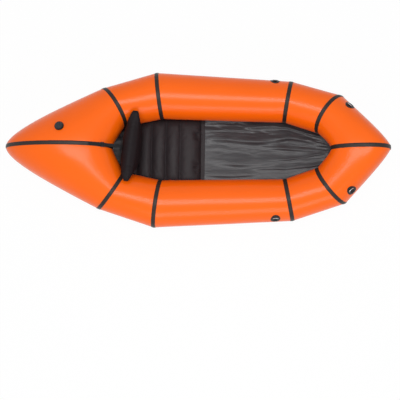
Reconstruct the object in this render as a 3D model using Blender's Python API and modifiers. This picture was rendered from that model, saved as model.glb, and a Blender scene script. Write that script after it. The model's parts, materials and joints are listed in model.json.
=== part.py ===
"""A one-person inflatable packraft, built as its separate pieces.

The hull is one closed air tube, welded from ten coated-fabric panels and taped
over every seam. It holds a floor sheet, an inflated seat and backrest, an
inflation valve and four lashing rings. Metres, +X to the bow, +Y to port, +Z up.
"""
import math

import bmesh
import bpy
from mathutils import Matrix, Vector
from mathutils.bvhtree import BVHTree

# Whole hull
HULL_LENGTH = 2.400
TUBE_SPREAD = 0.347          # centre plane to the middle of the tube, at its widest
TUBE_WIDTH = 0.300
TUBE_HEIGHT = 0.282
TUBE_RADIUS = (TUBE_WIDTH + TUBE_HEIGHT) / 4
FLAT_DEPTH = 0.0040          # how far the tube flattens where it stands
HULL_WALL = 0.0010
SEAM_GAP = 0.0004            # between the welded edges of two panels
GAP = 0.0003                 # between two pieces that touch
SKIN_GAP = 0.0008            # between a round skin and a patch laid on it

# Seam tape, floor sheet and the tape along its weld
TAPE_WIDTH = 0.025
TAPE_THICKNESS = 0.0010
FLOOR_THICKNESS = 0.0010
FLOOR_FLANGE = 0.020
FLOOR_TAPE_WIDTH = 0.030
FLOOR_TAPE_THICKNESS = 0.0010
FLOOR_ANGLE = 243.0          # where the floor meets the tube, in degrees round it

# Cross seams on the port side, from stern to bow. Station and spread are shares
# of half the length and of the tube's spread. Lift, height and lean are shares of
# the tube's height, and width is a share of its width.
CROSS_SEAM_SHARES = {
    "aft": {"station": -0.437, "spread": 0.767, "lift": 0.000,
            "width": 0.937, "height": 1.043, "lean": 0.124},
    "rear": {"station": -0.192, "spread": 1.000, "lift": 0.000,
             "width": 1.000, "height": 1.000, "lean": 0.000},
    "front": {"station": 0.495, "spread": 0.902, "lift": 0.000,
              "width": 0.887, "height": 0.965, "lean": -0.050},
    "fore": {"station": 0.712, "spread": 0.643, "lift": 0.188,
             "width": 0.927, "height": 0.929, "lean": -0.184},
}
CROSS_SEAM_TURNS = {"aft": 33.8, "rear": 7.5, "front": -10.6, "fore": -37.8}

# Seams on the centre plane: places as shares of half the length and of the tube's
# height, and how square each quarter is, where 1 is an ellipse and less is fuller
CENTRE_SEAM_SHARES = {
    "stern": {"tip": (-1.000, 0.574), "top": (-0.662, 1.369),
              "throat": (-0.429, 0.766), "keel": (-0.583, 0.053)},
    "bow": {"tip": (1.000, 0.996), "top": (0.888, 1.426),
            "throat": (0.703, 0.943), "keel": (0.817, 0.284)},
}
CENTRE_FULLNESS_SHARES = {"stern": (1.0, 1.0, 1.0, 0.9), "bow": (1.0, 1.0, 1.0, 1.08)}

# How far the end panels run square to the centre plane before they turn aft or fore
END_ROUNDING = {
    "stern": {"tip": 0.085, "crown": 0.110, "throat": 0.022},
    "bow": {"tip": 0.036, "crown": 0.080, "throat": 0.026},
}
END_STRAIGHT_SHARE = 0.5

# Mesh steps
TUBE_SIDES = 28
END_SHARES = (0.0, 0.18, 0.38, 0.56, 0.72, 0.85, 1.0)
STRAIGHT_SHARES = (0.0, 1.0)
PROBE = 0.100                # how far off a skin a seating line starts
SLOPE_ANGLE = 1.0            # degrees either side of a point, to find a skin's slope
SLOPE_SHARE = 0.01
FLOOR_SHARES = (0.5, 1.0)
PATCH_SIDES = 16
PATCH_RINGS = 3
LOOP_STEPS = 6
KEEPER_STEPS = 3
STRAP_STEPS = 3
RING_STEPS = 12
SPRING_STEPS = 8
HINGE_PROBES = 8

# Seat
SEAT_REACH = 0.457           # from the backrest's fold to the front edge
SEAT_WIDTH = 0.455
SEAT_CHANNELS = 4
SEAT_CHANNEL_PITCH = 0.0925
SEAT_THIGH_LENGTH = 0.135
SEAT_FLANGE = 0.025
SEAT_THICKNESS = 0.065
SEAT_FLANGE_THICKNESS = 0.004
SEAT_SEAM_SHARE = 0.62
SEAT_SCALLOP = 0.022
SEAT_REAR_WIDTH_SHARE = 0.76
SEAT_TAPER_LENGTH = 0.180
SEAT_SIDE_SHARE = 0.30
SEAT_CROWN_SHARE = 0.55
SEAT_REAR_SHARE = 0.35
SEAT_CREASE_SHARE = 0.7
SEAT_CHANNEL_SHARES = ((0.22, 0.93), (0.50, 1.02), (0.78, 0.93))
SEAT_THIGH_SHARES = ((0.14, 0.84), (0.45, 0.90), (0.82, 0.74))
SEAT_BASE_SHARES = (-0.80, -0.40, 0.00, 0.40, 0.80)
SEAT_TOP_POINTS = 6

# Backrest
REST_AHEAD = 0.120           # from the stern's throat to the fold
REST_BOTTOM = 0.088
REST_HEIGHT = 0.208
REST_WIDTH = 0.448
REST_DEPTH = 0.128
REST_SKEW = -5.0             # degrees about Z
REST_POINTS = 12
REST_SHARES = (
    # across, bottom, top and depth
    (0.00, 0.00, 1.00, 1.00),
    (0.32, 0.02, 1.00, 0.94),
    (0.58, 0.22, 1.00, 0.76),
    (0.78, 0.74, 1.01, 0.56),
    (0.92, 0.86, 1.00, 0.42),
    (1.00, 0.91, 0.97, 0.30),
)
REST_X = CENTRE_SEAM_SHARES["stern"]["throat"][0] * HULL_LENGTH / 2 + REST_AHEAD
SEAT_FRONT = REST_X + SEAT_REACH
HINGE_FLAP_WIDTH = 0.240
HINGE_FLAP_THICKNESS = 0.0015

# Inflation valve, along its own axis from the hull's skin
VALVE_STATION_SHARE = 0.68
VALVE_ANGLE = 80.0
VALVE_FLANGE_RADIUS = 0.034
VALVE_FLANGE_THICKNESS = 0.0012
VALVE_BARREL_RADIUS = 0.0170
VALVE_BORE_RADIUS = 0.0145
VALVE_BARREL_DEPTH = 0.020
VALVE_COLLAR_RADIUS = 0.0245
VALVE_COLLAR_HEIGHT = 0.0050
VALVE_WEB_THICKNESS = 0.0022
VALVE_WEB_DEPTH = 0.0120
VALVE_GUIDE_RADIUS = 0.0045
VALVE_HOLE_RADIUS = 0.0034
VALVE_HOLES = 4
VALVE_STEM_RADIUS = 0.0022
VALVE_BUTTON_RADIUS = 0.0062
VALVE_BUTTON_THICKNESS = 0.0018
VALVE_BUTTON_DEPTH = 0.0030  # below the collar's rim
VALVE_POPPET_RADIUS = 0.0162
VALVE_POPPET_THICKNESS = 0.0020
VALVE_CAP_RADIUS = 0.0220
VALVE_CAP_HEIGHT = 0.0085
VALVE_CAP_WALL = 0.0022
VALVE_SKIRT_DEPTH = 0.0035
VALVE_NOTCH_RADIUS = 0.0030
VALVE_NOTCHES = 8
SPRING_RADIUS = 0.0042
SPRING_WIRE = 0.0005
SPRING_TURNS = 4
TETHER_WIDTH = 0.0030
TETHER_THICKNESS = 0.0012
TURNED_STEPS = 20

# Mouth valves of the seat and the backrest
MOUTH_FLANGE_RADIUS = 0.0130
MOUTH_FLANGE_THICKNESS = 0.0015
MOUTH_NECK_RADIUS = 0.0062
MOUTH_BORE_RADIUS = 0.0035
MOUTH_NECK_LENGTH = 0.0120
MOUTH_CAP_RADIUS = 0.0090
MOUTH_CAP_LENGTH = 0.0110
MOUTH_STEPS = 12
MOUTH_BEHIND = 0.025         # from the fold aft to the seat's own valve
SEAT_MOUTH_Y = 0.120
REST_MOUTH_Y = -0.040
REST_MOUTH_Z = 0.150

# Lashing rings: patch, webbing keeper and wire ring
RING_PLACES = {
    "side": {"panel": "side", "share": 0.880, "angle": 28.0},
    "bow": {"panel": "bow", "share": 0.160, "angle": 40.0},
}
PATCH_LENGTH = 0.060
PATCH_GIRTH = 0.080
PATCH_THICKNESS = 0.0015
KEEPER_WIDTH = 0.024
KEEPER_LENGTH = 0.034
KEEPER_THICKNESS = 0.0012
RING_WIRE = 0.0040
RING_REACH = 0.026
RING_OFFSET = 0.012          # from the patch's middle up to the ring's bar
RING_REST_ANGLE = 22.0       # degrees that the ring stands off the skin

# Strap that holds the backrest
STRAP_WIDTH = 0.020
STRAP_THICKNESS = 0.0014
STRAP_TAB_ANGLES = (124.0, 140.0)
STRAP_ANCHOR_Z = 0.235
STRAP_PATCH = 0.034
SLIDER_WIDTH = 0.030
SLIDER_LENGTH = 0.022
SLIDER_THICKNESS = 0.0035
SLIDER_BAR = 0.0035

SMOOTH_ANGLE = 35.0
MERGE = 0.00001

COLOURS = {
    # colour, roughness and metallic
    "hull_fabric": ((0.975, 0.135, 0.010), 0.38, 0.0),
    "seam_tape": ((0.036, 0.028, 0.026), 0.45, 0.0),
    "floor_fabric": ((0.085, 0.085, 0.092), 0.35, 0.0),
    "seat_fabric": ((0.048, 0.042, 0.046), 0.50, 0.0),
    "rest_fabric": ((0.026, 0.021, 0.023), 0.55, 0.0),
    "webbing": ((0.020, 0.020, 0.022), 0.80, 0.0),
    "plastic": ((0.018, 0.019, 0.022), 0.35, 0.0),
    "rubber": ((0.022, 0.022, 0.024), 0.60, 0.0),
    "steel": ((0.560, 0.560, 0.570), 0.25, 1.0),
}


def clear_scene():
    for old in list(bpy.data.objects):
        bpy.data.objects.remove(old, do_unlink=True)


def new_collection(name):
    made = bpy.data.collections.new(name)
    bpy.context.scene.collection.children.link(made)
    return made


def make_materials():
    made = {}
    for name, (colour, roughness, metallic) in COLOURS.items():
        finish = bpy.data.materials.new(name)
        finish.use_nodes = True
        shader = finish.node_tree.nodes["Principled BSDF"]
        shader.inputs["Base Color"].default_value = (*colour, 1.0)
        shader.inputs["Roughness"].default_value = roughness
        shader.inputs["Metallic"].default_value = metallic
        made[name] = finish
    return made


clear_scene()
PARTS = new_collection("packraft")
CUTTERS = new_collection("cutters")
MATERIALS = make_materials()
ROOT = bpy.data.objects.new("packraft_origin", None)
PARTS.objects.link(ROOT)


def add_object(name, data, finish, frame=None):
    """Put one piece in the model, at the frame that carries it."""
    piece = bpy.data.objects.new(name, data)
    PARTS.objects.link(piece)
    piece.parent = ROOT
    piece.matrix_world = frame if frame is not None else Matrix.Identity(4)
    data.materials.append(MATERIALS[finish])
    return piece


def add_mesh(name, shape, finish, frame=None, facing=None):
    """A piece from a bmesh, whose points are given in the frame. An open surface
    is turned to face a direction."""
    bmesh.ops.remove_doubles(shape, verts=shape.verts, dist=MERGE)
    bmesh.ops.recalc_face_normals(shape, faces=shape.faces)
    if facing is not None:
        total = sum((face.normal for face in shape.faces), Vector())
        if total.dot(facing) < 0:
            bmesh.ops.reverse_faces(shape, faces=shape.faces)
    data = bpy.data.meshes.new(name)
    shape.to_mesh(data)
    shape.free()
    data.shade_smooth()
    data.set_sharp_from_angle(angle=math.radians(SMOOTH_ANGLE))
    return add_object(name, data, finish, frame)


def thicken(piece, thickness, offset=1.0):
    """Give an open surface its thickness, outward for an offset of 1."""
    shell = piece.modifiers.new("thickness", "SOLIDIFY")
    shell.thickness = thickness
    shell.offset = offset


def cutter(shape_maker, name):
    """A guide body that cuts or joins another, and isn't a piece."""
    shape = bmesh.new()
    shape_maker(shape)
    bmesh.ops.recalc_face_normals(shape, faces=shape.faces)
    data = bpy.data.meshes.new(name)
    shape.to_mesh(data)
    shape.free()
    guide = bpy.data.objects.new(name, data)
    CUTTERS.objects.link(guide)
    guide.hide_render = True
    guide.display_type = "WIRE"
    return guide


def combine(piece, guide, operation):
    step = piece.modifiers.new(operation.lower(), "BOOLEAN")
    step.operation = operation
    step.object = guide
    step.solver = "EXACT"


def mirrored(point, side):
    return Vector((point.x, point.y * side, point.z))


def frame_from(origin, along, out):
    """A right-handed frame with X along, Z out and Y round the piece."""
    z_axis = out.normalized()
    x_axis = (along - z_axis * along.dot(z_axis)).normalized()
    y_axis = z_axis.cross(x_axis)
    turn = Matrix((x_axis, y_axis, z_axis)).transposed().to_4x4()
    return Matrix.Translation(origin) @ turn


# Hull lines

SKIN_BASE = TAPE_THICKNESS + GAP     # the tube's underside, which stands on its tapes


def cos_deg(angle):
    return math.cos(math.radians(angle))


def sin_deg(angle):
    return math.sin(math.radians(angle))


def grounded(point):
    """Flatten the underside where the hull stands."""
    return Vector((point.x, point.y, max(point.z, SKIN_BASE)))


class CrossSeam:
    """A leaning oval on the port side. Angle 0 is outboard and 90 is the top."""

    def __init__(self, name):
        share = CROSS_SEAM_SHARES[name]
        turn = CROSS_SEAM_TURNS[name]
        half_height = share["height"] * TUBE_HEIGHT / 2
        half_width = share["width"] * TUBE_WIDTH / 2
        self.centre = Vector((share["station"] * HULL_LENGTH / 2,
                              share["spread"] * TUBE_SPREAD,
                              share["lift"] * TUBE_HEIGHT + half_height
                              + SKIN_BASE - FLAT_DEPTH))
        self.across = Vector((-sin_deg(turn), cos_deg(turn), 0)) * half_width
        ahead = Vector((cos_deg(turn), sin_deg(turn), 0))
        self.rise = ahead * share["lean"] * TUBE_HEIGHT + Vector((0, 0, half_height))

    def point(self, angle):
        oval = self.across * cos_deg(angle) + self.rise * sin_deg(angle)
        return grounded(self.centre + oval)

    def outward(self, angle):
        if self.point(angle).z <= SKIN_BASE:
            return Vector((0, 0, -1))
        out = (self.across / self.across.length_squared * cos_deg(angle)
               + self.rise / self.rise.length_squared * sin_deg(angle))
        return out.normalized()


class CentreSeam:
    """A closed curve on the centre plane. Angle 0 is the tip and 90 is the top."""

    def __init__(self, name):
        tips = CENTRE_SEAM_SHARES[name]
        reach = HULL_LENGTH / 2 - SKIN_BASE
        self.mark = {key: Vector((along * reach, 0, up * TUBE_HEIGHT))
                     for key, (along, up) in tips.items()}
        self.squareness = CENTRE_FULLNESS_SHARES[name]

    def point(self, angle):
        angle = angle % 360
        quarter = int(angle // 90)
        level = self.mark["tip"] if quarter in (0, 3) else self.mark["throat"]
        pole = self.mark["top"] if quarter in (0, 1) else self.mark["keel"]
        power = self.squareness[quarter]
        along = abs(cos_deg(angle)) ** power
        up = abs(sin_deg(angle)) ** power
        return Vector((pole.x + (level.x - pole.x) * along, 0,
                       level.z + (pole.z - level.z) * up))

    def outward(self, angle):
        run = self.point(angle + SLOPE_ANGLE) - self.point(angle - SLOPE_ANGLE)
        out = Vector((run.z, 0, -run.x)).normalized()
        middle = (self.mark["tip"] + self.mark["throat"]) / 2
        return out if out.dot(self.point(angle) - middle) > 0 else -out


AFT, REAR, FRONT, FORE = (CrossSeam(name) for name in ("aft", "rear", "front", "fore"))
STERN, BOW = (CentreSeam(name) for name in ("stern", "bow"))


class Panel:
    """One hull panel on the port side, lofted from seam to seam."""

    def __init__(self, start, end, shares, rounding=None):
        self.start = start
        self.end = end
        self.shares = shares
        self.rounding = rounding

    def handle(self, angle):
        """How far the skin runs square to the centre plane at its end."""
        level = self.rounding["tip" if cos_deg(angle) > 0 else "throat"]
        return level * cos_deg(angle) ** 2 + self.rounding["crown"] * sin_deg(angle) ** 2

    def point(self, angle, share):
        first = self.start.point(angle)
        last = self.end.point(angle)
        if self.rounding is None:
            return first.lerp(last, share)
        late = last + Vector((0, self.handle(angle), 0))
        early = first.lerp(late, END_STRAIGHT_SHARE)
        rest = 1 - share
        bend = (first * rest ** 3 + early * 3 * rest ** 2 * share
                + late * 3 * rest * share ** 2 + last * share ** 3)
        return grounded(bend)

    def outward(self, angle, share):
        return self.start.outward(angle).lerp(self.end.outward(angle), share).normalized()

    def skin_frame(self, angle, share, side):
        """A frame on the skin: X along the tube, Y downhill and Z outward."""
        along = self.point(angle, share + SLOPE_SHARE) - self.point(angle, share - SLOPE_SHARE)
        around = self.point(angle + SLOPE_ANGLE, share) - self.point(angle - SLOPE_ANGLE, share)
        out = along.cross(around)
        if out.dot(self.outward(angle, share)) < 0:
            out = -out
        return frame_from(mirrored(self.point(angle, share), side),
                          mirrored(along, side) * side, mirrored(out, side))


PANELS = {
    "stern": Panel(AFT, STERN, END_SHARES, END_ROUNDING["stern"]),
    "rear_quarter": Panel(AFT, REAR, STRAIGHT_SHARES),
    "side": Panel(REAR, FRONT, STRAIGHT_SHARES),
    "front_quarter": Panel(FRONT, FORE, STRAIGHT_SHARES),
    "bow": Panel(FORE, BOW, END_SHARES, END_ROUNDING["bow"]),
}
TUBE_ANGLES = [360 * k / TUBE_SIDES for k in range(TUBE_SIDES)]


def towards(point, goal, distance):
    return point + (goal - point).normalized() * distance


def span_faces(shape, near, far, spans):
    """Join two rings, each span split along its shorter diagonal."""
    for k in spans:
        n = (k + 1) % len(near)
        a, b, c, d = near[k], near[n], far[n], far[k]
        if (a.co - c.co).length <= (b.co - d.co).length:
            shape.faces.new((a, b, c))
            shape.faces.new((a, c, d))
        else:
            shape.faces.new((a, b, d))
            shape.faces.new((b, c, d))


def shell_loft(outer, inner):
    """A shell between two sets of closed rings, with its two open rims closed."""
    shape = bmesh.new()
    layers = [[[shape.verts.new(p) for p in ring] for ring in rings]
              for rings in (outer, inner)]
    spans = range(len(outer[0]))
    for rings in layers:
        for near, far in zip(rings, rings[1:]):
            span_faces(shape, near, far, spans)
    for end in (0, -1):
        span_faces(shape, layers[0][end], layers[1][end], spans)
    return shape


def panel_rings(panel, side, depth):
    """The rings of a panel's skin, or of its inner face at a depth. A ring lies
    under each tape's edge, so the tape and the skin below it bend alike."""
    rims = (SEAM_GAP / 2, TAPE_WIDTH / 2)
    places = [(panel.shares[0], panel.shares[1], rim) for rim in rims]
    places += [(share, None, 0) for share in panel.shares[1:-1]]
    places += [(panel.shares[-1], panel.shares[-2], rim) for rim in reversed(rims)]
    rings = []
    for share, inward, rim in places:
        ring = []
        for angle in TUBE_ANGLES:
            point = panel.point(angle, share)
            if inward is not None:
                point = towards(point, panel.point(angle, inward), rim)
            ring.append(mirrored(point - panel.outward(angle, share) * depth, side))
        rings.append(ring)
    return rings


def hull_panel(name, panel, side):
    outer = panel_rings(panel, side, 0)
    inner = panel_rings(panel, side, HULL_WALL)
    return add_mesh(name, shell_loft(outer, inner), "hull_fabric")


def tape_rings(seam, before, after, height):
    """Three rings of a tape that is kinked over its seam, at a height off the skin."""
    rings = [[], [], []]
    for angle in TUBE_ANGLES:
        middle = seam.point(angle)
        lift = seam.outward(angle) * height
        rings[0].append(towards(middle, before(angle), TAPE_WIDTH / 2) + lift)
        rings[1].append(middle + lift)
        rings[2].append(towards(middle, after(angle), TAPE_WIDTH / 2) + lift)
    return rings


def next_lane(panel, seam):
    """The next point of a panel's mesh along its skin from a seam."""
    share = panel.shares[1] if panel.start is seam else panel.shares[-2]
    return lambda angle: panel.point(angle, share)


def seam_tape(name, seam, before, after, side):
    inner = tape_rings(seam, before, after, GAP)
    outer = tape_rings(seam, before, after, GAP + TAPE_THICKNESS)
    turned = [[[mirrored(p, side) for p in ring] for ring in rings]
              for rings in (outer, inner)]
    return add_mesh(name, shell_loft(*turned), "seam_tape")


SIDES = {"left": 1, "right": -1}
CROSS_TAPES = {
    "aft": (AFT, "stern", "rear_quarter"),
    "rear": (REAR, "rear_quarter", "side"),
    "front": (FRONT, "side", "front_quarter"),
    "fore": (FORE, "front_quarter", "bow"),
}


def build_hull():
    made = {}
    for word, side in SIDES.items():
        for key, panel in PANELS.items():
            name = f"{key}_panel_{word}"
            made[name] = hull_panel(name, panel, side)
        for key, (seam, back, ahead) in CROSS_TAPES.items():
            seam_tape(f"{key}_seam_tape_{word}", seam,
                      next_lane(PANELS[back], seam), next_lane(PANELS[ahead], seam), side)
    for key, seam in (("stern", STERN), ("bow", BOW)):
        port = next_lane(PANELS[key], seam)
        seam_tape(f"{key}_seam_tape", seam, port,
                  lambda angle, lane=port: mirrored(lane(angle), -1), 1)
    return made


# Floor

LAYER = GAP + TAPE_THICKNESS + GAP   # the floor lies over the cross tapes


def floor_stations():
    """Panel and share of each place along the floor's port edge, stern to bow."""
    places = [(PANELS["stern"], share) for share in reversed(END_SHARES)]
    places += [(PANELS[key], share) for key in ("rear_quarter", "side", "front_quarter")
               for share in FLOOR_SHARES]
    places += [(PANELS["bow"], share) for share in END_SHARES[1:]]
    return places


def floor_edge(height, angle=FLOOR_ANGLE):
    edge = []
    for panel, share in floor_stations():
        edge.append(panel.point(angle, share) + panel.outward(angle, share) * height)
    return edge


def build_floor():
    """A sheet ruled across the hull, with a flange welded under the tube."""
    corner = floor_edge(LAYER)
    reach = math.degrees(FLOOR_FLANGE / TUBE_RADIUS)
    flange = floor_edge(LAYER, FLOOR_ANGLE + reach)
    shape = bmesh.new()
    rows = []
    for inner, outer in zip(corner, flange):
        row = (outer, inner, mirrored(inner, -1), mirrored(outer, -1))
        rows.append([shape.verts.new(point) for point in row])
    for near, far in zip(rows, rows[1:]):
        for k in range(len(near) - 1):
            shape.faces.new((near[k], near[k + 1], far[k + 1], far[k]))
    sheet = add_mesh("floor_sheet", shape, "floor_fabric", facing=Vector((0, 0, 1)))
    thicken(sheet, FLOOR_THICKNESS, offset=-1.0)


def floor_height(corner, x):
    """Height of the floor's upper face at a place along the hull."""
    for near, far in zip(corner, corner[1:]):
        if near.x <= x <= far.x:
            return near.z + (far.z - near.z) * (x - near.x) / (far.x - near.x)


def build_floor_tape():
    """The tape in the corner between the tube and the floor's upper face. It
    stops short of the two corners on the centre plane."""
    reach = math.degrees(FLOOR_TAPE_WIDTH / 2 / TUBE_RADIUS)
    corner = floor_edge(LAYER)
    upper = floor_edge(LAYER, FLOOR_ANGLE - reach)
    up = Vector((0, 0, 1))
    sections = []
    for (panel, share), low, high in zip(floor_stations(), corner, upper):
        if low.y < FLOOR_TAPE_WIDTH:
            continue
        out = panel.outward(FLOOR_ANGLE, share)
        inboard = Vector((out.x, out.y, 0)).normalized()
        foot = low + inboard * FLOOR_TAPE_WIDTH / 2
        foot.z = floor_height(corner, foot.x) + GAP
        bend = low + up * GAP
        to_foot = (foot - bend).normalized()
        to_high = (high - bend).normalized()
        mitre = FLOOR_TAPE_THICKNESS * 2 / (to_foot - to_high).length
        sections.append((high, bend, foot, foot + up * FLOOR_TAPE_THICKNESS,
                         bend + (to_foot + to_high).normalized() * mitre,
                         high + out * FLOOR_TAPE_THICKNESS))
    for word, side in SIDES.items():
        rings = [[mirrored(point, side) for point in ring] for ring in sections]
        add_mesh(f"floor_seam_tape_{word}", strip_loft(rings), "seam_tape")


def strip_loft(sections):
    """A thin strip through sections that run up one face and back down the other.
    Both faces are split along the same diagonals, so they can't cross."""
    shape = bmesh.new()
    rings = [[shape.verts.new(point) for point in ring] for ring in sections]
    for near, far in zip(rings, rings[1:]):
        for k in range(len(near)):
            n = (k + 1) % len(near)
            a, b, c, d = near[k], near[n], far[n], far[k]
            if k < len(near) / 2:
                shape.faces.new((a, b, c))
                shape.faces.new((a, c, d))
            else:
                shape.faces.new((a, b, d))
                shape.faces.new((b, c, d))
    for ring in (rings[0], rings[-1]):
        shape.faces.new(ring)
    return shape


# Pieces seated on a skin

def skin_tree(piece):
    """The faces of a finished piece, for seating others on it."""
    bpy.context.view_layer.update()
    return BVHTree.FromObject(piece, bpy.context.evaluated_depsgraph_get()), piece


def seat_on(tree, point, out):
    """Where a line through a point, along its outward direction, meets the skin."""
    faces, piece = tree
    to_piece = piece.matrix_world.inverted()
    turn = piece.matrix_world.to_3x3()
    start = to_piece @ (point + out * PROBE)
    hit, normal, _, _ = faces.ray_cast(start, to_piece.to_3x3() @ -out)
    return piece.matrix_world @ hit, (turn @ normal).normalized()


def seated_frame(tree, frame):
    """The same frame, with its origin on the faceted skin."""
    out = frame.col[2].to_3d()
    hit, _ = seat_on(tree, frame.translation, out)
    return Matrix.Translation(hit - frame.translation) @ frame


def skin_patch(name, tree, frame, half_length, half_girth, thickness, finish, hole=0):
    """An oval patch that follows the skin below it, with a round hole or none."""
    out = frame.col[2].to_3d()
    shape = bmesh.new()
    rings = []
    for level in range(PATCH_RINGS + 1):
        level_share = level / PATCH_RINGS
        if level == 0 and not hole:
            continue
        ring = []
        for k in range(PATCH_SIDES):
            turn = math.tau * k / PATCH_SIDES
            across = hole + (half_length - hole) * level_share
            around = hole + (half_girth - hole) * level_share
            place = frame @ Vector((across * math.cos(turn), around * math.sin(turn), 0))
            hit, _ = seat_on(tree, place, out)
            ring.append(shape.verts.new(hit + out * SKIN_GAP))
        rings.append(ring)
    for near, far in zip(rings, rings[1:]):
        span_faces(shape, near, far, range(PATCH_SIDES))
    if not hole:
        hit, _ = seat_on(tree, frame.translation, out)
        middle = shape.verts.new(hit + out * SKIN_GAP)
        for k in range(PATCH_SIDES):
            shape.faces.new((middle, rings[0][k], rings[0][(k + 1) % PATCH_SIDES]))
    thicken(add_mesh(name, shape, finish, facing=out), thickness)


def ribbon(name, path, width, thickness, finish, frame):
    """Webbing along a path in the frame's YZ plane, as wide as asked along X."""
    shape = bmesh.new()
    rows = [[shape.verts.new((across, y, z)) for across in (-width / 2, width / 2)]
            for y, z in path]
    for near, far in zip(rows, rows[1:]):
        shape.faces.new((near[0], near[1], far[1], far[0]))
    thicken(add_mesh(name, shape, finish, frame), thickness, offset=0.0)


def looped(lower, normals, ahead, radius, rise):
    """A webbing path: along the lower run, round a bar and back over itself.

    The bar's centre lies a radius above the end of the lower run."""
    last, up = lower[-1], normals[-1]
    bar = last + up * radius
    arc = []
    for k in range(1, LOOP_STEPS):
        turn = math.pi * k / LOOP_STEPS
        arc.append(bar - up * radius * math.cos(turn) + ahead * radius * math.sin(turn))
    top = [bar + up * radius]
    back = [p + n * rise for p, n in zip(reversed(lower[:-1]), reversed(normals[:-1]))]
    return lower + arc + top + back, bar


def turned(name, profile, finish, frame, steps=TURNED_STEPS):
    """A turned piece. Its profile runs down the outer side, from top to bottom."""
    shape = bmesh.new()
    points = [shape.verts.new((radius, 0, height)) for radius, height in profile]
    for first, second in zip(points, points[1:]):
        shape.edges.new((first, second))
    if profile[0][0] > 0:
        shape.edges.new((points[-1], points[0]))
    data = bpy.data.meshes.new(name)
    shape.to_mesh(data)
    shape.free()
    piece = add_object(name, data, finish, frame)
    spin = piece.modifiers.new("turn", "SCREW")
    spin.angle = math.tau
    spin.steps = steps
    spin.render_steps = steps
    spin.use_merge_vertices = True
    spin.merge_threshold = MERGE
    spin.use_smooth_shade = True
    return piece


def cylinder_at(shape, x, y, low, high, radius, sides):
    """A cylinder along Z between two heights, added to a bmesh."""
    place = Matrix.Translation((x, y, (low + high) / 2))
    bmesh.ops.create_cone(shape, cap_ends=True, segments=sides, radius1=radius,
                          radius2=radius, depth=high - low, matrix=place)


# Seat

def seat_base():
    return max(PANELS[key].point(FLOOR_ANGLE, share).z
               + PANELS[key].outward(FLOOR_ANGLE, share).z * LAYER
               for key, share in (("rear_quarter", 0), ("side", 0), ("side", 1))) + GAP


def seat_stations():
    """Place, height share and drawn-in width of each section, from the rear."""
    thigh_rear = SEAT_FRONT - SEAT_FLANGE - SEAT_THIGH_LENGTH
    rear = thigh_rear - SEAT_CHANNELS * SEAT_CHANNEL_PITCH
    flange_share = SEAT_FLANGE_THICKNESS / SEAT_THICKNESS
    stations = [(rear, SEAT_REAR_SHARE, 0.0, False)]
    for k in range(SEAT_CHANNELS):
        start = rear + k * SEAT_CHANNEL_PITCH
        if k > 0:
            stations.append((start, SEAT_SEAM_SHARE, 0.0, True))
        for along_share, high_share in SEAT_CHANNEL_SHARES:
            stations.append((start + along_share * SEAT_CHANNEL_PITCH, high_share,
                             SEAT_SCALLOP * high_share, False))
    stations.append((thigh_rear, SEAT_SEAM_SHARE, 0.0, True))
    for along_share, high_share in SEAT_THIGH_SHARES:
        stations.append((thigh_rear + along_share * SEAT_THIGH_LENGTH, high_share,
                         SEAT_SCALLOP * along_share * (1 - along_share), False))
    stations.append((SEAT_FRONT - SEAT_FLANGE, flange_share, 0.0, True))
    stations.append((SEAT_FRONT, flange_share, 0.0, False))
    return stations


def seat_section(x, thickness, half_width, base):
    """A crowned section, flat below, with its welded side seam part way up."""
    side = thickness * SEAT_SIDE_SHARE
    ring = []
    for k in range(SEAT_TOP_POINTS + 1):
        turn = math.pi * k / SEAT_TOP_POINTS
        crown = math.sin(turn) ** SEAT_CROWN_SHARE if 0 < k < SEAT_TOP_POINTS else 0
        ring.append(Vector((x, half_width * math.cos(turn),
                            base + side + (thickness - side) * crown)))
    for place_share in SEAT_BASE_SHARES:
        ring.append(Vector((x, half_width * place_share, base)))
    return ring


def build_seat():
    base = seat_base()
    stations = seat_stations()
    rear = stations[0][0]
    shape = bmesh.new()
    crease = shape.edges.layers.float.new("crease_edge")
    rings = []
    seams = []
    for x, high_share, drawn_in, is_seam in stations:
        taper = min(1, SEAT_REAR_WIDTH_SHARE
                    + (1 - SEAT_REAR_WIDTH_SHARE) * (x - rear) / SEAT_TAPER_LENGTH)
        half_width = SEAT_WIDTH / 2 * taper - drawn_in
        section = seat_section(x, SEAT_THICKNESS * high_share, half_width, base)
        rings.append([shape.verts.new(point) for point in section])
        if is_seam:
            seams.append(rings[-1])
    for near, far in zip(rings, rings[1:]):
        for k in range(len(near)):
            n = (k + 1) % len(near)
            shape.faces.new((near[k], near[n], far[n], far[k]))
    for ring in (rings[0], rings[-1]):
        shape.faces.new(ring)
    for ring in seams:
        for first, second in zip(ring, ring[1:]):
            shape.edges.get((first, second))[crease] = SEAT_CREASE_SHARE
    piece = add_mesh("seat_cushion", shape, "seat_fabric")
    return soften(piece)


def soften(piece):
    soft = piece.modifiers.new("soft", "SUBSURF")
    soft.levels = 1
    soft.render_levels = 1
    return piece


# Backrest

def rest_frame():
    """The fold axis of the backrest: Y along the axis and Z up."""
    place = Matrix.Translation((REST_X, 0, REST_BOTTOM))
    return place @ Matrix.Rotation(math.radians(REST_SKEW), 4, "Z")


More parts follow.
